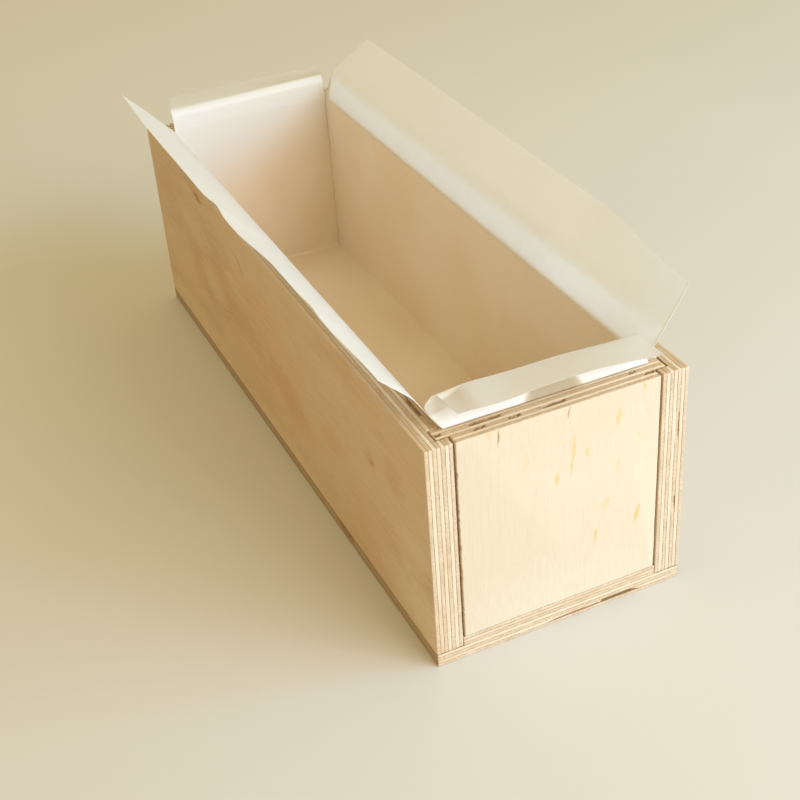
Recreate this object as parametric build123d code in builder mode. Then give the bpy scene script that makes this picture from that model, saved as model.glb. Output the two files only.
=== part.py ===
"""Soap loaf mould: a plywood trough, two end panels that slide up out of grooves, and a paper liner.

Millimetres. +X is to the right seen from the front end, +Y runs along the loaf away from the front
end, and +Z is up. The origin is the middle of the underside of the base.
"""
from build123d import *
from math import cos, radians, sin
import os

# Overall size of the wooden box
outer_width = 88.0
outer_length = 272.0
outer_height = 82.0

# Plywood: every board has seven plies
ply_count = 7
board_ply = 1.3                 # sides and ends, a 9.1 mm board
base_ply = 1.2                  # base, an 8.4 mm board
board_thickness = ply_count * board_ply
base_thickness = ply_count * base_ply

# Every joint is cut three plies deep and leaves a tongue or lip of the other four
cut_plies = 3
whole_plies = ply_count - cut_plies
groove_depth = cut_plies * board_ply
end_shoulder = cut_plies * board_ply
base_lip = whole_plies * base_ply

# Play of the sliding end panels
shoulder_gap = 0.7              # open crack each side of the panel's face
tongue_end_gap = 0.4            # from the tongue to the bottom of its groove
tongue_face_gap = 0.15          # from the tongue to the groove's walls, front and back

# Paper liner: sheet thickness, play, and the flaps (widths along the paper, leans above level)
paper = 0.25
paper_gap = 0.3
left_flap = [(30.0, 53.0)]
right_flap = [(10.0, 68.0), (22.0, 32.0)]
front_flap = [(12.0, 90.0), (10.5, -12.0)]
rear_flap = [(10.0, 90.0), (15.0, 8.0)]

# Worked out from the above
half_width = outer_width / 2
half_length = outer_length / 2
inner_half_width = half_width - board_thickness
inner_half_length = half_length - board_thickness
groove_front = half_length - end_shoulder + tongue_face_gap
groove_back = inner_half_length - tongue_face_gap
shoulder_half = inner_half_width - shoulder_gap
tongue_half = inner_half_width + groove_depth - tongue_end_gap
liner_step = paper_gap + paper  # one sheet and the play outside it

os.makedirs("parts", exist_ok=True)


def make_ply(name, x_faces, y_strips, z_faces):
    """One ply of a board, between two faces in X and in Z, in as many strips as its grooves leave."""
    x_low, x_high = sorted(x_faces)
    z_low, z_high = sorted(z_faces)
    with BuildPart() as ply:
        with BuildSketch(Plane.XY.offset(z_low)):
            for y_faces in y_strips:
                y_low, y_high = sorted(y_faces)
                with Locations(((x_low + x_high) / 2, (y_low + y_high) / 2)):
                    Rectangle(x_high - x_low, y_high - y_low)
        extrude(amount=z_high - z_low)
    ply.part.label = name
    export_step(ply.part, f"parts/{name}.step")


def make_side(side, sign):
    """A side panel: four outer plies run through, and both grooves cut the three inner plies."""
    through = [(-half_length, half_length)]
    grooved = [
        (-half_length, -groove_front),
        (-groove_back, groove_back),
        (groove_front, half_length),
    ]
    for number in range(1, ply_count + 1):
        outer_face = sign * (half_width - (number - 1) * board_ply)
        inner_face = sign * (half_width - number * board_ply)
        make_ply(
            f"{side}_side_ply_{number}",
            (outer_face, inner_face),
            through if number <= whole_plies else grooved,
            (base_lip, outer_height),
        )


def make_end(end, sign):
    """An end panel: three outer plies fit between the sides, and the other four enter the grooves."""
    for number in range(1, ply_count + 1):
        outer_face = sign * (half_length - (number - 1) * board_ply)
        inner_face = sign * (half_length - number * board_ply)
        half = shoulder_half if number <= cut_plies else tongue_half
        make_ply(
            f"{end}_end_ply_{number}",
            (-half, half),
            [(outer_face, inner_face)],
            (base_thickness, outer_height),
        )


def make_base():
    """The base: four plies run under the sides, and three fill the width between them."""
    for number in range(1, ply_count + 1):
        half = half_width if number <= whole_plies else inner_half_width
        make_ply(
            f"base_ply_{number}",
            (-half, half),
            [(-half_length, half_length)],
            ((number - 1) * base_ply, number * base_ply),
        )


def flap_points(start, sign, strips):
    """Corners of a flap that leaves the rim at start: each strip has a width and a lean."""
    across, height = start
    points = []
    for width, lean in strips:
        across += sign * width * cos(radians(lean))
        height += width * sin(radians(lean))
        points.append((across, height))
    return points


def make_liner(name, plane, wall, floor, run, low_flap, high_flap):
    """One sheet of paper folded into a trough, its inside faces at +-wall and at floor."""
    low_rim = (-wall, outer_height)
    high_rim = (wall, outer_height)
    with BuildPart() as liner:
        with BuildSketch(plane):
            with BuildLine():
                inside = Polyline(
                    *reversed(flap_points(low_rim, -1, low_flap)),
                    low_rim,
                    (-wall, floor),
                    (wall, floor),
                    high_rim,
                    *flap_points(high_rim, 1, high_flap),
                )
                offset(inside, amount=paper, side=Side.RIGHT, kind=Kind.INTERSECTION)
            make_face()
        extrude(amount=run / 2, both=True)
    liner.part.label = name
    export_step(liner.part, f"parts/{name}.step")


make_side("left", -1)
make_side("right", 1)
make_end("front", -1)
make_end("rear", 1)
make_base()

# The first sheet lies across the box: it covers the floor and both long walls
make_liner(
    "cross_liner",
    Plane.XZ,
    inner_half_width - liner_step,
    base_thickness + liner_step,
    2 * (inner_half_length - paper_gap),
    left_flap,
    right_flap,
)

# The second sheet lies on the first, lengthwise: it covers the floor and both end walls
make_liner(
    "lengthwise_liner",
    Plane.YZ,
    inner_half_length - liner_step,
    base_thickness + 2 * liner_step,
    2 * (inner_half_width - liner_step - paper_gap),
    front_flap,
    rear_flap,
)
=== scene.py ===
"""Looks of a soap loaf mould: plywood boards seen ply by ply, a paper liner, floor, light and camera.

Metres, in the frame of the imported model: +X right, +Y away from the front end, +Z up. Sizes that
read better in millimetres are multiplied by MM where they are used.
"""

import random
from math import cos, exp, pi, radians, sin

import bmesh
import bpy
from mathutils import Matrix, Vector, noise


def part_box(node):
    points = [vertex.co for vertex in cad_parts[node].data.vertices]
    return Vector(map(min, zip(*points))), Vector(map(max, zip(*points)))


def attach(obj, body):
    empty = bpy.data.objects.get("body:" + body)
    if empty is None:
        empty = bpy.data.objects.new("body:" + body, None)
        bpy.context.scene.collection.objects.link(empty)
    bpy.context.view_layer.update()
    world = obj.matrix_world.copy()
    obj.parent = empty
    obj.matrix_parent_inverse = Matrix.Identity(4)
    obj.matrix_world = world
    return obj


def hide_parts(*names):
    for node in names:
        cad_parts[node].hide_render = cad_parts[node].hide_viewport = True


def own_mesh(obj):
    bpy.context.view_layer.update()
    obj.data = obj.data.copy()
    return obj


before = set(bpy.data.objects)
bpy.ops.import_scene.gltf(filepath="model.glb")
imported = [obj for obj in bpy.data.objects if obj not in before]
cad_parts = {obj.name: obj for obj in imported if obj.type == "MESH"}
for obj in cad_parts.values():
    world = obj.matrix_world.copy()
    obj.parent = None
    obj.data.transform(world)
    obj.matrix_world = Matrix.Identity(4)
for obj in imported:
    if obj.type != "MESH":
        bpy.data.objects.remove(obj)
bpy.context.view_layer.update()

MM = 0.001
PLY_COUNT = 7
X, Y, Z = 0, 1, 2


# ---------------------------------------------------------------- sizes taken from the frame
def node_box(name):
    """Lowest and highest corner of a CAD node, as vectors."""
    low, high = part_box(name)
    return Vector(low), Vector(high)


right_inner = node_box("right_side_ply_7")[0].x          # inner face of the right board
front_inner = node_box("front_end_ply_7")[1].y           # inner face of the front end panel
rim_z = node_box("right_side_ply_7")[1].z                # top edge of all four walls
floor_z = node_box("base_ply_7")[1].z                    # top face of the base
tongue = node_box("rear_end_ply_7")[0].y, node_box("rear_end_ply_4")[1].y
groove_play = 0.15 * MM                                  # from the tongue to the groove's walls

NOISE_SEED = 4
PLY_SEED = 7
noise.seed_set(NOISE_SEED)      # without a seed of its own, noise_vector differs from run to run


# ---------------------------------------------------------------- shader helpers
def add(tree, kind, inputs=None, output=0, **settings):
    """Adds a shader node; each input is a value or another node's output. Returns one output."""
    made = tree.nodes.new(kind)
    for key, value in settings.items():
        setattr(made, key, value)
    for key, value in (inputs or {}).items():
        if isinstance(value, bpy.types.NodeSocket):
            tree.links.new(value, made.inputs[key])
        else:
            made.inputs[key].default_value = value
    return made.outputs[output]


def maths(tree, operation, first, second=0.0, third=0.0):
    """One arithmetic step."""
    return add(tree, "ShaderNodeMath", {0: first, 1: second, 2: third}, operation=operation)


def smooth(tree, value, low, high, out_low=0.0, out_high=1.0):
    """Eases from out_low to out_high as the value goes from low to high."""
    return add(
        tree,
        "ShaderNodeMapRange",
        {"Value": value, "From Min": low, "From Max": high, "To Min": out_low, "To Max": out_high},
        interpolation_type="SMOOTHSTEP",
    )


def tint(tree, factor, first, second, mode="MIX"):
    """Mixes two colours."""
    return add(
        tree,
        "ShaderNodeMix",
        {0: factor, 6: first, 7: second},
        output=2,
        data_type="RGBA",
        blend_type=mode,
    )


def noise_at(tree, place, scale, detail=2.0, roughness=0.5, distortion=0.0):
    """Noise whose scale differs along X, Y and Z, in cycles per millimetre."""
    spot = add(tree, "ShaderNodeVectorMath", {0: place, 1: scale}, operation="MULTIPLY")
    inputs = {"Vector": spot, "Scale": 1.0, "Detail": detail, "Roughness": roughness}
    return add(tree, "ShaderNodeTexNoise", {**inputs, "Distortion": distortion})


def millimetres(tree):
    """Place on the piece, in millimetres, in the frame's own axes."""
    place = add(tree, "ShaderNodeTexCoord", output=3)
    return add(tree, "ShaderNodeVectorMath", {0: place, 1: (1000, 1000, 1000)}, operation="MULTIPLY")


def coordinate(tree, place, axis):
    """One coordinate of a place or a direction."""
    return add(tree, "ShaderNodeSeparateXYZ", {0: place}, output=axis)


def stretched(axis, along, across):
    """A noise scale that differs along one axis."""
    scale = [across] * 3
    scale[axis] = along
    return scale


def new_material(name):
    """An empty node material and its output node."""
    material = bpy.data.materials.new(name)
    material.use_nodes = True
    material.node_tree.nodes.clear()
    return material, material.node_tree, material.node_tree.nodes.new("ShaderNodeOutputMaterial")


# ---------------------------------------------------------------- birch
YELLOW_FLECK = (0.76, 0.55, 0.22)
DARK_SLIT = (0.45, 0.28, 0.12)
RED_KNOT = (0.36, 0.17, 0.065)
RED_CLOUD = (0.62, 0.385, 0.215)
PALE_CLOUD = (0.72, 0.56, 0.39)
# Pale wood, and on the left face painted bounce light from the floor
PALE_WOOD_AND_BOUNCE_LIGHT = (0.80, 0.66, 0.48)
# Painted light and painted shade on the front face
FRONT_PAINTED_LIGHT = (0.82, 0.755, 0.61)
FRONT_PAINTED_SHADE = (0.74, 0.62, 0.45)

GRAIN_DEPTH = 0.09 * MM
SEED_SPREAD = (310, 470, 190)   # how far apart in the noise the plies lie, in millimetres

# Marks in a board's outer face, some of them painted light and shade: centre, half length along the
# grain and half width (mm), lean of the mark in the face (degrees), strength and colour. face_marks()
# fills in the 0 of a centre.
FRONT_FLECKS_AND_PAINTED_LIGHT = [
    # The first three are painted light low on the face and painted shade at its top and right, which
    # even out the lamps' uneven light across it.
    ((-6.0, 0, 6.0), 26.0, 54.0, 0, 0.6, FRONT_PAINTED_LIGHT),
    ((8.0, 0, 88.0), 34.0, 56.0, 0, 0.8, FRONT_PAINTED_SHADE),
    ((36.0, 0, 68.0), 24.0, 12.0, 0, 0.6, FRONT_PAINTED_SHADE),
    ((-20.6, 0, 79.0), 3.4, 0.4, 4, 1.0, DARK_SLIT),
    ((2.6, 0, 80.0), 3.0, 0.5, 6, 0.8, DARK_SLIT),
    ((-23.5, 0, 80.5), 1.6, 1.6, 0, 0.5, YELLOW_FLECK),
    ((19.7, 0, 72.0), 4.6, 1.0, 8, 0.85, YELLOW_FLECK),
    ((4.0, 0, 63.5), 8.0, 1.0, 5, 0.85, YELLOW_FLECK),
    ((8.8, 0, 63.2), 2.8, 1.3, 10, 0.7, YELLOW_FLECK),
    ((-1.4, 0, 56.8), 3.2, 1.2, 4, 0.7, YELLOW_FLECK),
    ((27.3, 0, 33.5), 5.0, 1.1, 14, 0.95, YELLOW_FLECK),
    ((12.0, 0, 29.5), 4.6, 0.8, 4, 0.75, YELLOW_FLECK),
    ((28.4, 0, 80.4), 2.4, 0.8, 6, 0.8, YELLOW_FLECK),
    ((27.0, 0, 63.0), 2.0, 1.4, 20, 0.4, YELLOW_FLECK),
    ((20.0, 0, 55.0), 5.0, 1.0, 6, 0.35, YELLOW_FLECK),
    ((15.8, 0, 41.0), 3.4, 1.6, 10, 0.4, YELLOW_FLECK),
    ((-12.0, 0, 66.0), 6.0, 1.4, 6, 0.25, YELLOW_FLECK),
]
LEFT_MARKS = [
    # The first four are painted bounce light from the floor: the face is paler towards its bottom.
    ((0, -128.0, 14.0), 40.0, 16.0, 0, 0.45, PALE_WOOD_AND_BOUNCE_LIGHT),
    ((0, 100.0, 8.0), 66.0, 12.0, 0, 0.6, PALE_WOOD_AND_BOUNCE_LIGHT),
    ((0, -10.0, 5.0), 60.0, 8.0, 0, 0.4, PALE_WOOD_AND_BOUNCE_LIGHT),
    ((0, -122.0, 34.0), 18.0, 14.0, 0, 0.3, PALE_WOOD_AND_BOUNCE_LIGHT),
    ((0, 84.0, 60.0), 30.0, 12.0, 6, 0.6, PALE_CLOUD),
    ((0, 62.0, 42.0), 18.0, 11.0, 0, 0.7, PALE_CLOUD),
    ((0, 34.0, 54.0), 16.0, 7.0, 0, 0.5, PALE_CLOUD),
    ((0, -64.0, 68.0), 20.0, 8.0, 0, 0.4, PALE_CLOUD),
    ((0, 50.0, 47.0), 22.0, 10.0, 10, 0.4, RED_CLOUD),
    ((0, -18.0, 34.0), 28.0, 11.0, 15, 0.85, RED_CLOUD),
    ((0, -112.0, 57.0), 10.0, 8.0, 0, 0.6, RED_CLOUD),
    ((0, -60.0, 39.0), 14.0, 6.0, 0, 0.5, RED_CLOUD),
    ((0, 21.0, 41.0), 10.0, 5.0, 0, 0.5, RED_CLOUD),
    ((0, -93.7, 52.9), 6.0, 4.4, 0, 0.7, RED_CLOUD),
    ((0, -94.5, 52.5), 2.6, 1.3, 0, 0.45, RED_KNOT),
    ((0, 23.6, 68.0), 5.4, 1.4, 39, 0.5, RED_KNOT),
    ((0, 73.0, 77.4), 10.0, 4.0, 4, 1.0, RED_CLOUD),
    ((0, 69.0, 76.6), 6.0, 2.0, 10, 0.8, RED_KNOT),
]
RIGHT_MARKS = [
    ((0, 20.0, 24.0), 40.0, 9.0, 0, 0.5, PALE_CLOUD),
    ((0, -110.0, 20.0), 30.0, 12.0, 0, 0.5, PALE_WOOD_AND_BOUNCE_LIGHT),
    ((0, -40.0, 58.0), 26.0, 8.0, 8, 0.6, RED_CLOUD),
    ((0, 97.0, 30.0), 14.0, 6.0, 4, 0.6, RED_CLOUD),
    ((0, 96.0, 30.0), 5.0, 1.6, 12, 0.5, RED_KNOT),
]
REAR_FLECKS = [
    ((-14.0, 0, 58.0), 6.0, 1.0, 6, 0.8, YELLOW_FLECK),
    ((11.0, 0, 36.0), 4.6, 0.9, 8, 0.8, YELLOW_FLECK),
    ((22.0, 0, 66.0), 3.2, 1.2, 4, 0.6, YELLOW_FLECK),
    ((-24.0, 0, 26.0), 5.0, 0.8, 10, 0.7, YELLOW_FLECK),
    ((6.0, 0, 74.0), 3.0, 0.5, 6, 0.8, DARK_SLIT),
]
FACE_MARKS = {
    "left_side": LEFT_MARKS,
    "right_side": RIGHT_MARKS,
    "front_end": FRONT_FLECKS_AND_PAINTED_LIGHT,
    "rear_end": REAR_FLECKS,
}


def face_mark(tree, place, mark, grain, board_axis):
    """Mask of one mark, a fleck, knot, cloud or patch of painted light or shade: a soft lens shape
    that runs along the grain.
    """
    centre, half_length, half_width, lean, strength, _ = mark
    across_axis = 3 - grain - board_axis
    lengthwise, crosswise = Vector((0, 0, 0)), Vector((0, 0, 0))
    lengthwise[grain], lengthwise[across_axis] = cos(radians(lean)), sin(radians(lean))
    crosswise[grain], crosswise[across_axis] = -sin(radians(lean)), cos(radians(lean))
    offset = add(tree, "ShaderNodeVectorMath", {0: place, 1: centre}, operation="SUBTRACT")
    parts = []
    for direction, half in ((lengthwise, half_length), (crosswise, half_width)):
        reach = add(
            tree,
            "ShaderNodeVectorMath",
            {0: offset, 1: direction / half},
            output=1,
            operation="DOT_PRODUCT",
        )
        parts.append(maths(tree, "POWER", reach, 2.0))
    distance = maths(tree, "ADD", parts[0], parts[1])
    ragged = noise_at(tree, place, stretched(grain, 0.2, 1.0), 3)
    distance = maths(tree, "MULTIPLY_ADD", ragged, 2.2, distance)
    return smooth(tree, distance, 2.1, 0.9, 0.0, strength)


def birch(name, grain, board_axis, colours, figure_depth=0.2, clouds=0.3, blush=0.35, marks=()):
    """Raw birch veneer: long grain on faces that run with the grain, pored end grain across it."""
    pale, deep, end_grain = colours
    material, tree, output = new_material(name)
    place = millimetres(tree)
    own = add(tree, "ShaderNodeAttribute", {}, output=2, attribute_name="seed")
    shift = add(tree, "ShaderNodeCombineXYZ", {0: own, 1: own, 2: own})
    shift = add(tree, "ShaderNodeVectorMath", {0: shift, 1: SEED_SPREAD}, operation="MULTIPLY")
    spot = add(tree, "ShaderNodeVectorMath", {0: place, 1: shift}, operation="ADD")

    # Long grain: wide figure, its contour lines, fibres and short dark pores
    figure = noise_at(tree, spot, stretched(grain, 0.007, 0.05), 2, 0.55, 0.25)
    contour = maths(tree, "SINE", maths(tree, "MULTIPLY", figure, 95.0))
    contour = smooth(tree, contour, -0.2, 1.0)
    cloud = smooth(tree, noise_at(tree, spot, stretched(grain, 0.011, 0.028), 2), 0.42, 0.68)
    fibre = noise_at(tree, spot, stretched(grain, 0.05, 1.9), 4, 0.65)
    pore = smooth(tree, noise_at(tree, spot, stretched(grain, 0.28, 4.5), 1), 0.63, 0.74)
    shade = maths(tree, "MULTIPLY", contour, figure_depth)
    shade = maths(tree, "MULTIPLY_ADD", cloud, clouds, shade)
    shade = maths(tree, "MULTIPLY_ADD", fibre, 0.45, shade)
    shade = maths(tree, "MULTIPLY_ADD", pore, 0.24, shade)
    shade = smooth(tree, shade, 0.10, 0.97)
    long_colour = tint(tree, shade, (*pale, 1), (*deep, 1))
    pink = smooth(tree, noise_at(tree, spot, stretched(grain, 0.016, 0.04), 1), 0.5, 0.75, 0, blush)
    long_colour = tint(tree, pink, long_colour, (*BLUSH_SHADE, 1), "MULTIPLY")
    for mark in marks:
        mask = face_mark(tree, place, mark, grain, board_axis)
        long_colour = tint(tree, mask, long_colour, (*mark[-1], 1))

    # End grain: pores and rays that cross the ply's thickness
    ray = noise_at(tree, spot, stretched(board_axis, 0.35, 2.6), 3, 0.6)
    patch = noise_at(tree, spot, (0.12, 0.12, 0.12), 2)
    dots = smooth(tree, noise_at(tree, spot, (3.2, 3.2, 3.2), 2), 0.52, 0.7)
    end_shade = maths(tree, "MULTIPLY_ADD", ray, 0.8, maths(tree, "MULTIPLY", patch, 0.7))
    end_shade = maths(tree, "MULTIPLY_ADD", dots, 0.35, end_shade)
    end_shade = smooth(tree, end_shade, 0.35, 1.25)
    end_dark = tuple(share * c for share, c in zip(END_GRAIN_SHARE, end_grain))
    end_colour = tint(tree, end_shade, (*end_grain, 1), (*end_dark, 1))

    normal = add(tree, "ShaderNodeTexCoord", output=1)
    axes = add(tree, "ShaderNodeSeparateXYZ", {0: normal}, output=grain)
    across = smooth(tree, maths(tree, "ABSOLUTE", axes), 0.45, 0.8)
    colour = tint(tree, across, long_colour, end_colour)

    # Glue lines, darkest where two plies meet, broken by noise
    glue = add(tree, "ShaderNodeAttribute", {}, output=2, attribute_name="glue")
    broken = smooth(tree, noise_at(tree, spot, (0.7, 0.7, 0.7), 3), 0.30, 0.62, 0.35, 1.0)
    glue = maths(tree, "MULTIPLY", glue, broken)
    colour = tint(tree, glue, colour, (*GLUE_BROWN, 1))

    height = maths(tree, "MULTIPLY_ADD", pore, -0.6, fibre)
    height = maths(tree, "MULTIPLY_ADD", glue, -0.8, height)
    height = maths(tree, "MULTIPLY_ADD", maths(tree, "MULTIPLY", ray, across), 1.6, height)
    bump = add(tree, "ShaderNodeBump", {"Height": height, "Strength": 0.45, "Distance": GRAIN_DEPTH})
    rough = smooth(tree, fibre, 0.3, 0.7, 0.5, 0.66)
    shader = add(
        tree,
        "ShaderNodeBsdfPrincipled",
        {"Base Color": colour, "Roughness": rough, "Normal": bump, "Specular IOR Level": 0.3},
    )
    tree.links.new(shader, output.inputs["Surface"])
    return material


TAN = (0.69, 0.512, 0.340)          # faces of the sides
TAN_DEEP = (0.54, 0.352, 0.197)
CREAM = (0.785, 0.685, 0.525)       # the end panels' faces are paler sheets
CREAM_DEEP = (0.71, 0.575, 0.385)
EDGE = (0.85, 0.73, 0.56)           # plies seen edge on, along their grain
EDGE_DEEP = (0.68, 0.50, 0.32)
WARM_EDGE = (0.90, 0.75, 0.54)      # the same on the end panels
WARM_EDGE_DEEP = (0.74, 0.53, 0.31)
PALE_END_GRAIN = (0.83, 0.70, 0.53)
DARK_END_GRAIN = (0.72, 0.565, 0.37)
GLUE_BROWN = (0.42, 0.27, 0.125)
BASE_PAINTED_SHADE = (0.46, 0.34, 0.22)     # painted shade: the base's plies are dark where the box meets the floor, seen along its long edges
BASE_PAINTED_SHADE_DEEP = (0.35, 0.245, 0.15)
BLUSH_SHADE = (1.0, 0.86, 0.74)     # multiplied into the pinker areas
END_GRAIN_SHARE = (0.70, 0.60, 0.50)    # of the end grain's colour, in its darkest pores


# ---------------------------------------------------------------- veneers
class Board:
    """A plywood board: where it is, which way its grain runs and which body it rides."""

    def __init__(self, name, body, axis, sign, grain):
        self.name = name
        self.body = body
        self.axis = axis          # the axis through the thickness
        self.sign = sign          # the side of that axis where ply 1 lies
        self.grain = grain        # long grain of plies 1, 3, 5 and 7
        self.cross = 3 - axis - grain


BOARDS = [
    Board("left_side", "box", X, -1, Y),
    Board("right_side", "box", X, 1, Y),
    Board("front_end", "front_end", Y, -1, Z),
    Board("rear_end", "rear_end", Y, 1, Z),
    Board("base", "box", Z, -1, Y),
]

EDGE_STEP = 1.2 * MM
TORN_STEP = 0.55 * MM           # finer round the front end panel, whose left edge is torn
CORNER_RADIUS = 0.5 * MM
ARRIS_RADIUS = 0.3 * MM
NO_LIMIT = 1.0                  # more than any wear
GLUE_RECESS = 0.07 * MM
GLUE_WAVE = 0.09 * MM
SAWN_ROUGHNESS = 0.05 * MM
WOOD_CREASE = radians(35)       # edges sharper than this aren't smoothed

# Holes left in the edges of inner plies: piece, edge (axis, sign), from, to, depth, in mm
VOIDS = [
    ("front_end_5", (Z, 1), -37.9, -35.8, 2.0),
    ("front_end_5", (Z, 1), -27.2, -16.8, 1.6),
    ("front_end_5", (Z, 1), 26.3, 28.6, 1.2),
    ("front_end_3", (Z, 1), -27.0, -23.2, 1.8),
    ("front_end_3", (Z, 1), -15.5, -11.6, 2.2),
    ("front_end_3", (Z, 1), -4.4, 3.4, 1.8),
    ("front_end_3", (Z, 1), 30.0, 34.1, 2.0),
    ("base_2", (Y, -1), -5.0, 16.0, 0.5),
    ("base_2", (Y, -1), 15.0, 28.0, 1.6),
    ("right_side_3", (Y, -1), 56.0, 67.0, 0.3),
    ("right_side_3", (Y, -1), 29.0, 35.0, 0.35),
    ("left_side_6", (Z, 1), -119.0, -108.0, 1.2),
    ("left_side_4", (Z, 1), -96.0, -82.0, 0.5),
    ("rear_end_5", (Z, 1), -20.0, -9.0, 1.4),
    ("rear_end_3", (Z, 1), 11.0, 19.0, 1.6),
    ("right_side_4", (Z, 1), 40.0, 52.0, 0.8),
    ("right_side_6", (Z, 1), -60.0, -49.0, 0.8),
    ("right_side_5", (Y, 1), 40.0, 47.0, 1.0),
    ("left_side_3", (Y, 1), 22.0, 31.0, 1.2),
    ("base_3", (Y, 1), -22.0, -8.0, 1.2),
    ("base_2", (X, 1), 30.0, 48.0, 0.9),
    ("base_3", (X, -1), -70.0, -55.0, 0.7),
]


def outline(low, high, corner, step):
    """Points round a rectangle with rounded corners, each with its outward direction."""
    centres = [
        (low[0] + corner, low[1] + corner),
        (high[0] - corner, low[1] + corner),
        (high[0] - corner, high[1] - corner),
        (low[0] + corner, high[1] - corner),
    ]
    arc_parts = 3
    points = []
    for index, centre in enumerate(centres):
        for part in range(arc_parts + 1):
            angle = pi + (index + part / arc_parts) * pi / 2
            out = Vector((cos(angle), sin(angle)))
            points.append((Vector(centre) + corner * out, out))
        run = Vector(centres[(index + 1) % 4]) - Vector(centre)
        count = max(1, round(run.length / step))
        start, out = points[-1]
        points += [(start + run * k / count, out) for k in range(1, count)]
    return points


def pit(along, start, end):
    """Depth profile of a hole between two places along an edge, from 0 to 1."""
    middle, half = (start + end) / 2, (end - start) / 2
    reach = abs(along - middle) / half
    return 0.0 if reach >= 1 else (1 - reach ** 4) ** 0.7


def edge_wear(piece, board, number, spot, out):
    """How far the edge is eaten in at a point: sawn roughness, holes and the torn left crack."""
    millimetre = spot / MM
    wear = SAWN_ROUGHNESS * (1 + noise.noise(millimetre * 0.9 + Vector((7 * number, 0, 0))))
    for name, (axis, sign), start, end, depth in VOIDS:
        if name == piece and out[axis] * sign > 0.9:
            along = millimetre[3 - axis - board.axis]
            ragged = 1 + 0.5 * noise.noise(millimetre * 0.8)
            wear += depth * MM * pit(along, start, end) * ragged
    if board.name == "front_end" and number <= 3 and out.x < -0.9:
        tear = noise.noise(Vector((0, 5.0 * number, millimetre.z * 0.22)))
        splinter = noise.noise(Vector((0, 9.0 * number, millimetre.z * 0.9)))
        shred = noise.noise(Vector((0, 3.0 * number, millimetre.z * 2.3)))
        wear += MM * (max(0.0, 0.45 * tear - 0.05) + max(0.0, 0.4 * splinter) + 0.12 * abs(shred))
    return wear


def arris(board, spot, out):
    """Radius of the sanded corner of a board's face, with small chips along the front end's top."""
    millimetre = spot / MM
    radius = ARRIS_RADIUS * (1 + 0.45 * noise.noise(millimetre * 0.16))
    if board.name == "front_end" and out.z > 0.9:
        chip = noise.noise(millimetre * 0.62 + Vector((3, 0, 0)))
        radius += 0.9 * MM * max(0.0, chip - 0.18)
    return radius


def board_levels(radius):
    """Depth below a board's face, inset and glue of the loops that round its arris."""
    angles = [radians(a) for a in (0, 22.5, 45, 67.5, 90)]
    return [(radius * (1 - cos(a)), radius * (1 - sin(a)), 0.0) for a in angles]


def glue_levels():
    """Depth below a glued face, inset and glue of the loops beside it."""
    return [(0.0, GLUE_RECESS, 1.0), (0.06 * MM, 0.3 * GLUE_RECESS, 0.8), (0.2 * MM, 0.0, 0.0)]


def interface_wave(number, spot):
    """How far the face between two plies strays: none at the board's own faces."""
    if number in (0, PLY_COUNT):
        return 0.0
    return GLUE_WAVE * noise.noise(spot / MM * 0.09 + Vector((0, 0, 13.0 * number)))


def ply_strips(board, number, low, high):
    """The rectangles of a ply: the inner plies of a side are cut into three by the grooves."""
    if not board.name.endswith("side") or number <= 4:
        return [(low, high)]
    near, far = tongue[0] - groove_play, tongue[1] + groove_play
    strips = []
    for start, end in ((low.y, -far), (-near, near), (far, high.y)):
        strip_low, strip_high = low.copy(), high.copy()
        strip_low.y, strip_high.y = start, end
        strips.append((strip_low, strip_high))
    return strips


def strip_mesh(board, number, low, high, points, faces, glues):
    """Adds one rectangle of a ply to the lists of points, faces and glue amounts."""
    axes = [axis for axis in (X, Y, Z) if axis != board.axis]
    outer = high[board.axis] if board.sign > 0 else low[board.axis]
    inner = low[board.axis] if board.sign > 0 else high[board.axis]
    piece = f"{board.name}_{number}"
    step = TORN_STEP if board.name == "front_end" else EDGE_STEP
    rim = outline([low[a] for a in axes], [high[a] for a in axes], CORNER_RADIUS, step)
    first = len(points)
    level_count = 0
    for flat, flat_out in rim:
        spot, out = Vector((0, 0, 0)), Vector((0, 0, 0))
        for k, axis in enumerate(axes):
            spot[axis], out[axis] = flat[k], flat_out[k]
        spot[board.axis] = outer
        wear = edge_wear(piece, board, number, spot, out)
        radius = arris(board, spot, out)
        top = board_levels(radius) if number == 1 else glue_levels()
        bottom = board_levels(radius) if number == PLY_COUNT else glue_levels()
        outer_wave = interface_wave(number - 1, spot)
        inner_wave = interface_wave(number, spot)
        levels = [(outer, depth, inset, glue, -1, outer_wave) for depth, inset, glue in top]
        levels += [
            (inner, depth, inset, glue, 1, inner_wave) for depth, inset, glue in reversed(bottom)
        ]
        level_count = len(levels)
        on_corner = max(abs(c) for c in flat_out) <= 0.999
        limit = 0.8 * CORNER_RADIUS if on_corner else NO_LIMIT
        for face, depth, inset, glue, way, wave in levels:
            point = spot - out * min(wear + inset, limit)
            point[board.axis] = face + board.sign * (way * depth + wave)
            points.append(point)
            glues.append(glue)
    count = len(rim)
    for k in range(count):
        here, after = first + k * level_count, first + (k + 1) % count * level_count
        for level in range(level_count - 1):
            faces.append((here + level, after + level, after + level + 1, here + level + 1))
    for level in (0, level_count - 1):
        faces.append([first + k * level_count + level for k in range(count)])


def float_attribute(mesh, name, values):
    """Stores one number for each point of a mesh."""
    mesh.attributes.new(name, "FLOAT", "POINT").data.foreach_set("value", values)


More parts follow.
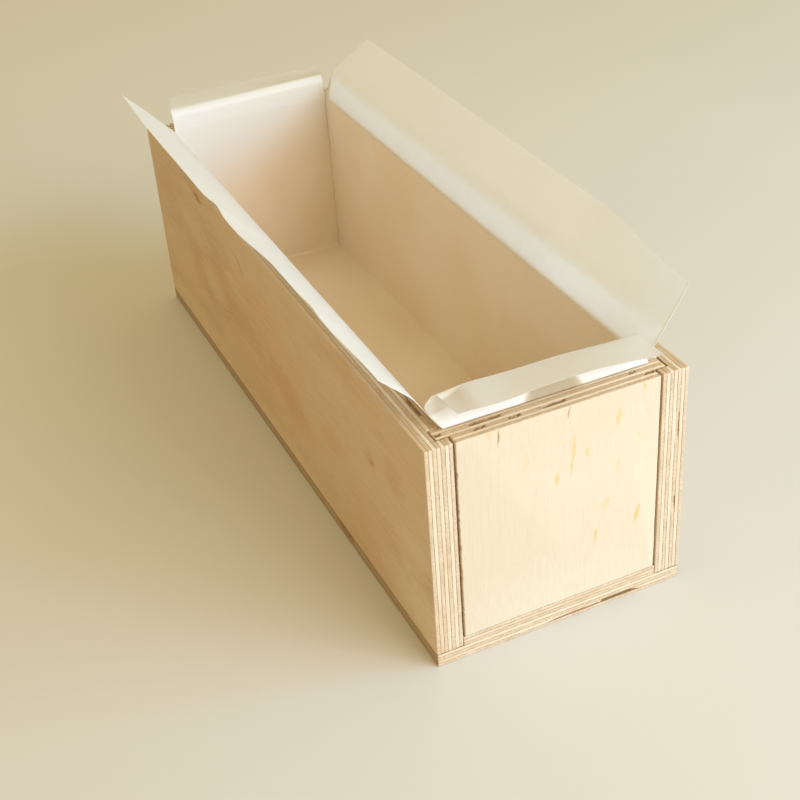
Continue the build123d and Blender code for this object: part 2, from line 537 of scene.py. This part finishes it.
def mesh_object(name, points, faces, material):
    """A smooth-shaded mesh object with outward faces."""
    mesh = bpy.data.meshes.new(name)
    mesh.from_pydata(points, [], faces)
    shell = bmesh.new()
    shell.from_mesh(mesh)
    bmesh.ops.recalc_face_normals(shell, faces=shell.faces)
    shell.to_mesh(mesh)
    shell.free()
    for face in mesh.polygons:
        face.use_smooth = len(face.vertices) == 4
    mesh.materials.append(material)
    piece = bpy.data.objects.new(name, mesh)
    bpy.context.collection.objects.link(piece)
    return piece


def ply_slot(number):
    """Material slot of a ply: faces, long-grain core or cross band."""
    if number in (1, PLY_COUNT):
        return "face_veneer"
    return "cross_veneer" if number % 2 == 0 else "core_veneer"


def make_veneer(board, number, materials, seed):
    """One ply of a board, in place of its CAD node."""
    low, high = node_box(f"{board.name}_ply_{number}")
    points, faces, glues = [], [], []
    for strip_low, strip_high in ply_strips(board, number, low, high):
        strip_mesh(board, number, strip_low, strip_high, points, faces, glues)
    slot = ply_slot(number)
    veneer = mesh_object(f"{board.name}_veneer_{number}", points, faces, materials[slot])
    float_attribute(veneer.data, "glue", glues)
    float_attribute(veneer.data, "seed", [seed] * len(points))
    veneer.data.set_sharp_from_angle(angle=WOOD_CREASE)
    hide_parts(f"{board.name}_ply_{number}")
    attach(veneer, board.body)


def face_marks(board):
    """The marks of a board's outer face, each with its centre moved into that face."""
    outer_corner = 1 if board.sign > 0 else 0
    face = node_box(f"{board.name}_ply_1")[outer_corner][board.axis] / MM
    marks = []
    for centre, *rest in FACE_MARKS.get(board.name, []):
        spot = list(centre)
        spot[board.axis] = face
        marks.append((tuple(spot), *rest))
    return marks


def board_materials(board):
    """The three birch materials of a board: its faces, its long core plies and its cross plies."""
    is_end = board.name.endswith("end")
    faces, figure_depth, clouds, blush = (TAN, TAN_DEEP), 0.10, 0.32, 0.35
    if is_end:
        faces, figure_depth, clouds, blush = (CREAM, CREAM_DEEP), 0.06, 0.08, 0.03
    edges = cross_edges = (EDGE, EDGE_DEEP)
    if is_end:
        edges = cross_edges = (WARM_EDGE, WARM_EDGE_DEEP)
    # Painted shade: the base is dark brown where the box meets the floor
    if board.name == "base":
        faces, edges = (BASE_PAINTED_SHADE, BASE_PAINTED_SHADE_DEEP), (BASE_PAINTED_SHADE, BASE_PAINTED_SHADE_DEEP)
    long_ends, cross_ends = PALE_END_GRAIN, DARK_END_GRAIN
    if is_end:
        long_ends, cross_ends = cross_ends, long_ends
    if board.name == "base":
        cross_ends = BASE_PAINTED_SHADE
    long_way, cross_way = (board.grain, board.axis), (board.cross, board.axis)
    return {
        "face_veneer": birch(
            f"{board.name}_face",
            *long_way,
            (*faces, long_ends),
            figure_depth,
            clouds,
            blush,
            face_marks(board),
        ),
        "core_veneer": birch(f"{board.name}_core", *long_way, (*edges, long_ends)),
        "cross_veneer": birch(f"{board.name}_cross", *cross_way, (*cross_edges, cross_ends)),
    }


# ---------------------------------------------------------------- paper liner
PAPER_PLAY = 0.3 * MM
PAPER_SPACE = 0.25 * MM         # thickness that the CAD model allows for one sheet
PAPER_THICKNESS = 0.12 * MM
PAPER_CREASE = radians(60)
SHEET_GAP = 0.03 * MM           # between the long walls of the two sheets
FOLD_RADIUS = 1.3 * MM
RUN_STEP = 2.5 * MM
BEND_PARTS = 10
CROSS_ROWS = 106
LONG_ROWS = 56
CROSS_UNEVENNESS = 0.1 * MM
LONG_UNEVENNESS = 0.08 * MM
FLAP_MIDDLE = 1.5               # centre of the painted shade on the front flap's outside, in mm across the box
FRONT_FLAP_WIDTH = 9.3          # in mm
FRONT_FLAP_LEAN = 0.35          # how far it leans to the left for its height
FRONT_FLAP_RETURN = 3.0 * MM    # how far its free edge turns back to the right
CURL_BOW = 3.4 * MM
REAR_FLAP_SLANT = 0.3

cross_half_x = right_inner - PAPER_PLAY - PAPER_SPACE / 2
cross_floor = floor_z + PAPER_PLAY + PAPER_SPACE / 2
cross_half_y = -front_inner - PAPER_PLAY
long_half_x = cross_half_x - PAPER_THICKNESS - SHEET_GAP
long_floor = cross_floor + PAPER_PLAY + PAPER_SPACE
long_half_y = -front_inner - PAPER_PLAY - PAPER_SPACE / 2

FREE_PAPER = (0.975, 0.98, 0.985)
FREE_PAPER_DEEP = (0.96, 0.96, 0.95)
TOUCHING_PAPER = (0.90, 0.795, 0.655)         # the wood shows where the paper lies on it
TOUCHING_PAPER_DEEP = (0.88, 0.75, 0.59)
REAR_WALL_PAINTED_LIGHT = (0.80, 0.785, 0.745)           # painted light: the rear wall's paper is whiter towards its top and its left, where the light falls
MOTTLE_SHADE = (0.98, 0.975, 0.96)            # these three are multiplied in
FLAP_PAINTED_SHADE = (0.87, 0.835, 0.76)              # painted shade on the end flaps past the end walls, and on the front flap's upper part
MIDDLE_PAINTED_SHADE = (0.59, 0.57, 0.49)             # painted shade in the middle of the front flap, outside
PASSED_LIGHT = (0.54, 0.48)                   # share passed on, in the thin and the thick places
CLEAR_LIGHT = 0.06                            # share that goes straight through
FIBRE_DEPTH = 0.06 * MM


def paper_material():
    """Thin greaseproof paper: passes light on where it is free, shows the wood where it touches, with
    painted light on the rear wall and painted shade on the flaps.
    """
    material, tree, output = new_material("baking_paper")
    rim_mm, end_mm = rim_z / MM, long_half_y / MM
    place = millimetres(tree)
    formation = noise_at(tree, place, (0.35, 0.35, 0.35), 4, 0.6)
    fibre = noise_at(tree, place, (2.6, 2.6, 2.6), 3, 0.7)
    cloud = noise_at(tree, place, (0.022, 0.022, 0.022), 2)
    mottle = maths(tree, "MULTIPLY_ADD", fibre, 0.4, formation)
    mottle = maths(tree, "MULTIPLY_ADD", cloud, 0.5, mottle)
    mottle = smooth(tree, mottle, 0.6, 1.3)
    free_colour = tint(tree, mottle, (*FREE_PAPER, 1), (*FREE_PAPER_DEEP, 1))
    blotch = smooth(tree, cloud, 0.35, 0.65)
    touching = tint(tree, blotch, (*TOUCHING_PAPER, 1), (*TOUCHING_PAPER_DEEP, 1))
    touching = tint(tree, mottle, touching, (*MOTTLE_SHADE, 1), "MULTIPLY")

    # Where the paper turns from the wood's tone to the free colour: at the rim along the sides, 9 mm
    # higher at the rear end and 4 mm lower at the front end. In the middle of the front flap's outside
    # it turns 5 mm higher than at the sides: the tan there is painted shade.
    level = maths(tree, "MULTIPLY_ADD", formation, 1.5, coordinate(tree, place, Z))
    rear_wall = smooth(tree, coordinate(tree, place, Y), end_mm - 4, end_mm)
    front_wall = smooth(tree, coordinate(tree, place, Y), 4 - end_mm, -end_mm)
    free_level = maths(tree, "MULTIPLY_ADD", rear_wall, -9.0, level)
    middle = maths(tree, "ABSOLUTE", maths(tree, "SUBTRACT", coordinate(tree, place, X), FLAP_MIDDLE))
    facing = coordinate(tree, add(tree, "ShaderNodeTexCoord", output=1), Y)
    front_outside = maths(tree, "MULTIPLY", front_wall, smooth(tree, facing, 0.3, -0.1))
    # Painted shade: in the middle of the front flap's outside the tan reaches higher up
    middle_shade_reach = maths(tree, "MULTIPLY", smooth(tree, middle, 14.5, 6.0), front_outside)
    free_level = maths(tree, "MULTIPLY_ADD", front_wall, 4.0, free_level)
    free_level = maths(tree, "MULTIPLY_ADD", middle_shade_reach, -9.0, free_level)
    free = smooth(tree, free_level, rim_mm - 1.0, rim_mm + 2.5)
    # Painted light on the rear wall: whiter higher up and further to the left
    rear_painted_light = maths(tree, "MULTIPLY_ADD", coordinate(tree, place, X), -0.28, level)
    rear_painted_light = maths(tree, "MULTIPLY", smooth(tree, rear_painted_light, 42.0, 83.0), rear_wall)

    # Painted shade on the end flaps past the end walls, and under the front flap's middle
    beyond = maths(tree, "ABSOLUTE", coordinate(tree, place, Y))
    over_end = smooth(tree, beyond, end_mm + 2.6, end_mm + 4.6)
    over_front = smooth(tree, beyond, end_mm + 0.8, end_mm + 2.0)
    above_front = smooth(tree, level, rim_mm + 4.5, rim_mm + 7.5)
    over_front = maths(tree, "MULTIPLY", over_front, above_front)
    over_front = maths(tree, "MULTIPLY", over_front, front_wall)
    over_end = maths(tree, "MAXIMUM", over_end, over_front)
    free_colour = tint(tree, over_end, free_colour, (*FLAP_PAINTED_SHADE, 1), "MULTIPLY")
    over_rim = smooth(tree, level, rim_mm, rim_mm + 1.5)
    shaded = maths(tree, "MULTIPLY", smooth(tree, middle, 12.5, 6.0), front_outside)
    shaded = maths(tree, "MULTIPLY", shaded, over_rim)
    touching = tint(tree, shaded, touching, (*MIDDLE_PAINTED_SHADE, 1), "MULTIPLY")
    colour = tint(tree, rear_painted_light, touching, (*REAR_WALL_PAINTED_LIGHT, 1))
    colour = tint(tree, free, colour, free_colour)

    height = maths(tree, "MULTIPLY_ADD", formation, 0.8, fibre)
    bump = add(tree, "ShaderNodeBump", {"Height": height, "Strength": 0.35, "Distance": FIBRE_DEPTH})
    rough = smooth(tree, formation, 0.3, 0.7, 0.42, 0.56)
    surface = add(
        tree,
        "ShaderNodeBsdfPrincipled",
        {"Base Color": colour, "Roughness": rough, "Normal": bump, "Specular IOR Level": 0.35},
    )
    through = add(tree, "ShaderNodeBsdfTranslucent", {"Color": free_colour, "Normal": bump})

    # The share of light passed on: less where an end flap stands upright, more on the right wall
    passed = smooth(tree, mottle, 0.0, 1.0, *PASSED_LIGHT)
    passed = maths(tree, "MULTIPLY", passed, free)
    upright = smooth(tree, beyond, end_mm - 0.6, end_mm - 0.2, 0.0, 0.9)
    upright = maths(tree, "MULTIPLY", upright, maths(tree, "SUBTRACT", 1.0, over_end))
    passed = maths(tree, "MULTIPLY", passed, maths(tree, "SUBTRACT", 1.0, upright))
    right_wall = smooth(tree, coordinate(tree, place, X), 28.0, 33.0)
    band = smooth(tree, level, rim_mm + 12.0, rim_mm + 7.0, 1.0, 1.35)
    band = maths(tree, "POWER", band, right_wall)
    passed = maths(tree, "MULTIPLY", passed, band)
    sheet = add(tree, "ShaderNodeMixShader", {0: passed, 1: surface, 2: through})
    clear = add(tree, "ShaderNodeBsdfTransparent")
    clear_share = maths(tree, "MULTIPLY", free, CLEAR_LIGHT)
    sheet = add(tree, "ShaderNodeMixShader", {0: clear_share, 1: sheet, 2: clear})
    tree.links.new(sheet, output.inputs["Surface"])
    return material


def trace(start, heading, runs):
    """Points of a folded strip's section.

    Each run is a straight length, the nominal length that sets how many parts it has, then a turn
    and its radius. The heading and the turns are in degrees, 0 along the first axis and 90 up.
    """
    place = Vector(start)
    points = [place.copy()]
    for length, nominal, turn, radius in runs:
        count = max(1, round(nominal / RUN_STEP))
        ahead = Vector((cos(radians(heading)), sin(radians(heading))))
        points += [place + ahead * length * k / count for k in range(1, count + 1)]
        place = points[-1].copy()
        if not turn and not radius:
            continue
        arc = max(abs(radians(turn)) * radius, 1e-6)
        for _ in range(BEND_PARTS):
            heading += turn / BEND_PARTS / 2
            place = place + Vector((cos(radians(heading)), sin(radians(heading)))) * arc / BEND_PARTS
            heading += turn / BEND_PARTS / 2
            points.append(place.copy())
    return points


def sheet_object(name, rows, material):
    """A thin closed sheet from rows of points, thickened and with crisp cut edges."""
    width = len(rows[0])
    points = [point for row in rows for point in row]
    faces = [
        (r * width + c, r * width + c + 1, (r + 1) * width + c + 1, (r + 1) * width + c)
        for r in range(len(rows) - 1)
        for c in range(width - 1)
    ]
    sheet = mesh_object(name, points, faces, material)
    solid = sheet.modifiers.new("paper_thickness", "SOLIDIFY")
    solid.thickness = PAPER_THICKNESS
    solid.offset = 0.0
    evaluated = sheet.evaluated_get(bpy.context.evaluated_depsgraph_get())
    thick = bpy.data.meshes.new_from_object(evaluated)
    sheet.modifiers.clear()
    sheet.data = thick
    thick.set_sharp_from_angle(angle=PAPER_CREASE)
    return sheet


def ease(value, low, high):
    """Smoothly from 0 at low to 1 at high."""
    t = min(1.0, max(0.0, (value - low) / (high - low)))
    return t * t * (3 - 2 * t)


def hump(value, middle, half):
    """A smooth hump of height 1."""
    return exp(-((value - middle) / half) ** 2)


def cross_row(y):
    """Section of the sheet across the box, at one place along it, from left free edge to right.

    The leans, the bulge and the wave are in degrees. They follow the photographed flaps: the left one
    bulges near the front end, and the right one is straight there and bends outward further on.
    """
    mm = y / MM
    wall = rim_z - cross_floor - 2 * FOLD_RADIUS
    floor = 2 * cross_half_x - 2 * FOLD_RADIUS
    left_lean = 51.5 - 1.9 * ease(mm, -124, -93) - 4.6 * ease(mm, -52, -14) + 2 * ease(mm, 85, 128)
    left_lean += 2.0 * hump(mm, 5, 7) + 1.0 * hump(mm, -79, 7)
    left_bulge = 1 + 7 * (1 - ease(mm, -127, -92))
    left_bend = radians(2 * left_bulge)
    right_steep = 69 - 12 * (1 - ease(mm, -127, -60))
    right_far = 30 + 27 * (1 - ease(mm, -127, -55))
    wave = 1.2 * sin(mm / 21.0 + 0.6) + 0.7 * sin(mm / 8.5)
    left_part, right_near, right_end = 11.0 * MM, 9.0 * MM, 17.5 * MM
    half_floor = floor / 2
    right = trace(
        (0.0, cross_floor),
        0.0,
        [
            (half_floor, half_floor, 90, FOLD_RADIUS),
            (wall, wall, right_steep - 90, 2.0 * MM),
            (right_near, right_near, right_far - right_steep + wave, 9.0 * MM),
            (right_end, right_end, 0, 0),
        ],
    )
    left = trace(
        (0.0, cross_floor),
        0.0,
        [
            (half_floor, half_floor, 90, FOLD_RADIUS),
            (wall, wall, left_lean + left_bulge - 90, 2.2 * MM),
            (left_part, left_part, -2 * left_bulge, 6.0 * MM / left_bend),
            (left_part, left_part, 0, 0),
        ],
    )
    section = [(-p.x, p.y) for p in reversed(left[1:])] + [(p.x, p.y) for p in right]
    return [Vector((x, y, z)) for x, z in section]


def settle(rows, depth_limit):
    """Small unevenness of the paper, at most a limit each way."""
    for row in rows:
        for point in row:
            shift = noise.noise_vector(point / MM * 0.035)
            point += shift * depth_limit
    return rows


def make_cross_liner(material):
    """The sheet that lies across the box: floor, long walls and both long flaps."""
    rows = [cross_row(cross_half_y * (2 * k / CROSS_ROWS - 1)) for k in range(CROSS_ROWS + 1)]
    liner = sheet_object("cross_liner_paper", settle(rows, CROSS_UNEVENNESS), material)
    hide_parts("cross_liner")
    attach(liner, "cross_liner_sheet")
    return liner


def long_rows(section_at):
    """Rows of the lengthwise sheet: its section in YZ at places across the box."""
    places = [long_half_x * (2 * k / LONG_ROWS - 1) for k in range(LONG_ROWS + 1)]
    return [[Vector((x, y, z)) for y, z in section_at(x)] for x in places]


def trough_section(x):
    """Floor and end walls of the lengthwise sheet, from rim to rim."""
    wall = rim_z - long_floor - FOLD_RADIUS
    half_floor = long_half_y - FOLD_RADIUS
    runs = [(half_floor, half_floor, 90, FOLD_RADIUS), (wall, wall, 0, 0)]
    half = trace((0.0, long_floor), 0.0, runs)
    return [(-p.x, p.y) for p in reversed(half[1:])] + [(p.x, p.y) for p in half]


def front_curl(x):
    """How much of the front flap's rolled left end shows at this place: 1 at the end, 0 further on."""
    return 1 - ease(x / MM, -35, -19)


def front_section(x):
    """Front flap: over the panel's top, up, and folded outward; at the left it rises in a curl."""
    mm, curl = x / MM, front_curl(x)
    leaning = 103 + 35 * curl       # headings of the lower and the upper part, in degrees
    upright = 103 - 18 * curl
    low_part = 3.0 + 3.0 * curl     # their lengths, in mm
    high_part = 7.2 - 1.2 * ease(mm, -30, 34) + 0.2 * sin(mm / 6.0) - 4.4 * curl
    high_part -= 1.6 * curl * (1 - curl)
    droop = 14 + 7 * hump(mm, -19, 9) + 1.5 * sin(mm / 5.0) - 9 * hump(mm, 8, 16)
    droop += 4 * ease(mm, 10, 22) + 5 * ease(mm, 20, 34) - 3 * curl
    width = FRONT_FLAP_WIDTH + 0.5 * sin(mm / 9.0 + 1.0)
    runs = [
        (2.0 * MM, 2.5 * MM, leaning - 10, 0.7 * MM),
        (low_part * MM, 5 * MM, upright - leaning, (2.0 - 1.4 * curl) * MM),
        (high_part * MM, 7.5 * MM, -upright - droop, 1.3 * MM),
        (width * MM, 9 * MM, 0, 0),
    ]
    section = trace((0.0, rim_z), 10, runs)
    return [(-long_half_y - p.x, p.y) for p in section]


def front_rows():
    """Rows of the front flap: it leans to the left, and its free edge turns back to the right."""
    rows = long_rows(front_section)
    for row in rows:
        x, curl = row[0].x, front_curl(row[0].x)
        crest = max(row, key=lambda point: point.z)
        crest_height = crest.z - rim_z
        past_crest = False
        for point in row:
            past_crest = past_crest or point is crest
            share = min(1.0, max(0.0, point.z - rim_z) / crest_height)
            if past_crest:
                beyond = (crest.y - point.y) / (FRONT_FLAP_WIDTH * MM)
                lean = (1 - curl) * FRONT_FLAP_LEAN * crest_height
                point.x += beyond * (FRONT_FLAP_RETURN + 0.03 * x) - lean
            else:
                bow = CURL_BOW * sin(pi * share**1.3)
                point.x -= (1 - curl) * FRONT_FLAP_LEAN * share * crest_height + curl * bow
    return rows


def rear_section(x):
    """Rear flap: rises to a crest, then leans outward nearly level, drooping towards the right."""
    mm = x / MM
    rise = 5.4 + 0.8 * ease(mm, -34, 34)
    bend = -88 - 7 * ease(mm, -20, 34)
    runs = [
        (rise * MM, 9 * MM, bend + 4, 3.0 * MM),
        (13.0 * MM, 13 * MM, 0, 0),
    ]
    section = trace((0.0, rim_z), 90.0 - 4.0, runs)
    return [(long_half_y + p.x, p.y) for p in section]


def rear_rows():
    """Rows of the rear flap: past its crest it slants to the right."""
    rows = long_rows(rear_section)
    for row in rows:
        for point in row:
            point.x += REAR_FLAP_SLANT * max(0.0, point.y - long_half_y - 2 * MM)
    return rows


def make_lengthwise_liner(material):
    """The sheet on top, lengthwise: floor, end walls and the two end flaps."""
    trough_rows = long_rows(trough_section)
    trough = sheet_object("lengthwise_liner_paper", settle(trough_rows, LONG_UNEVENNESS), material)
    front = sheet_object("front_flap_paper", settle(front_rows(), LONG_UNEVENNESS), material)
    rear = sheet_object("rear_flap_paper", settle(rear_rows(), LONG_UNEVENNESS), material)
    for sheet in (trough, front, rear):
        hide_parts("lengthwise_liner")
        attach(sheet, "lengthwise_liner_sheet")
    for flap, joint, wall_y in (
        (front, "front_end_lift", 0.1 * MM - long_half_y),
        (rear, "rear_end_lift", long_half_y - 0.1 * MM),
    ):
        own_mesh(flap)
    return trough, front, rear


# ---------------------------------------------------------------- floor, light and camera
FLOOR_HALF = 12.0
GRIT_DEPTH = 0.1 * MM
FLOOR_PALE = (0.70, 0.68, 0.62)
FLOOR_WARM = (0.72, 0.695, 0.63)


def make_floor():
    """A wide pale floor with faint clouds and a fine grit."""
    material, tree, output = new_material("pale_floor")
    place = millimetres(tree)
    cloud = noise_at(tree, place, (0.004, 0.004, 0.004), 3)
    grit = noise_at(tree, place, (1.2, 1.2, 1.2), 3, 0.6)
    colour = tint(tree, smooth(tree, cloud, 0.3, 0.7), (*FLOOR_PALE, 1), (*FLOOR_WARM, 1))
    bump = add(tree, "ShaderNodeBump", {"Height": grit, "Strength": 0.15, "Distance": GRIT_DEPTH})
    rough = smooth(tree, cloud, 0.3, 0.7, 0.55, 0.65)
    shader = add(
        tree,
        "ShaderNodeBsdfPrincipled",
        {"Base Color": colour, "Roughness": rough, "Normal": bump, "Specular IOR Level": 0.25},
    )
    tree.links.new(shader, output.inputs["Surface"])
    corners = [(x * FLOOR_HALF, y * FLOOR_HALF, 0) for x, y in ((-1, -1), (1, -1), (1, 1), (-1, 1))]
    mesh = bpy.data.meshes.new("floor")
    mesh.from_pydata(corners, [], [(0, 1, 2, 3)])
    mesh.materials.append(material)
    floor = bpy.data.objects.new("floor", mesh)
    bpy.context.collection.objects.link(floor)


LIGHTS = [
    # name, where it hangs, width and height, watts, colour
    ("front_window", (0.42, -0.95, 0.55), 0.7, 6.0, (1.06, 1.055, 1.19)),
    ("right_window", (1.0, -0.7, 0.6), 0.8, 8.0, (0.52, 1.02, 1.50)),
]
LIGHT_AIM = (0.0, 0.0, 0.04)
SURROUND = (0.732, 0.594, 0.330)


def make_lights():
    """Soft area lights and a warm surround."""
    for name, place, width, watts, colour in LIGHTS:
        data = bpy.data.lights.new(name, "AREA")
        data.size = width
        data.energy = watts
        data.color = colour
        lamp = bpy.data.objects.new(name, data)
        lamp.location = place
        lamp.rotation_mode = "QUATERNION"
        lamp.rotation_quaternion = (Vector(LIGHT_AIM) - Vector(place)).to_track_quat("-Z", "Y")
        bpy.context.collection.objects.link(lamp)
    world = bpy.data.worlds.new("surround")
    world.use_nodes = True
    background = world.node_tree.nodes["Background"]
    background.inputs["Color"].default_value = (*SURROUND, 1)
    background.inputs["Strength"].default_value = 1.0
    bpy.context.scene.world = world
    bpy.context.scene.view_settings.view_transform = "Standard"


CAMERA_PLACE = (-0.1710, -0.4280, 0.3113)
CAMERA_AHEAD = (0.3193, 0.7699, -0.5525)
CAMERA_RIGHT = (0.9047, -0.4211, -0.0640)
CAMERA_LENS = 63.49             # in mm, on a sensor 36 mm wide
CAMERA_SENSOR = 36.0


def make_camera():
    """Looks down on the front end and the left side."""
    data = bpy.data.cameras.new("camera")
    data.lens = CAMERA_LENS
    data.sensor_width = CAMERA_SENSOR
    data.clip_start = 0.01
    back = -Vector(CAMERA_AHEAD).normalized()
    right = Vector(CAMERA_RIGHT).normalized()
    up = back.cross(right)
    camera = bpy.data.objects.new("camera", data)
    turn = Matrix((right, up, back)).transposed()
    camera.matrix_world = Matrix.Translation(CAMERA_PLACE) @ turn.to_4x4()
    bpy.context.collection.objects.link(camera)
    bpy.context.scene.camera = camera


# ---------------------------------------------------------------- the whole scene
make_camera()
make_lights()
make_floor()

seeds = random.Random(PLY_SEED)
for board in BOARDS:
    materials = board_materials(board)
    for number in range(1, PLY_COUNT + 1):
        make_veneer(board, number, materials, seeds.random())

paper = paper_material()
cross_paper = make_cross_liner(paper)
trough_paper, front_paper, rear_paper = make_lengthwise_liner(paper)

bpy.context.view_layer.update()
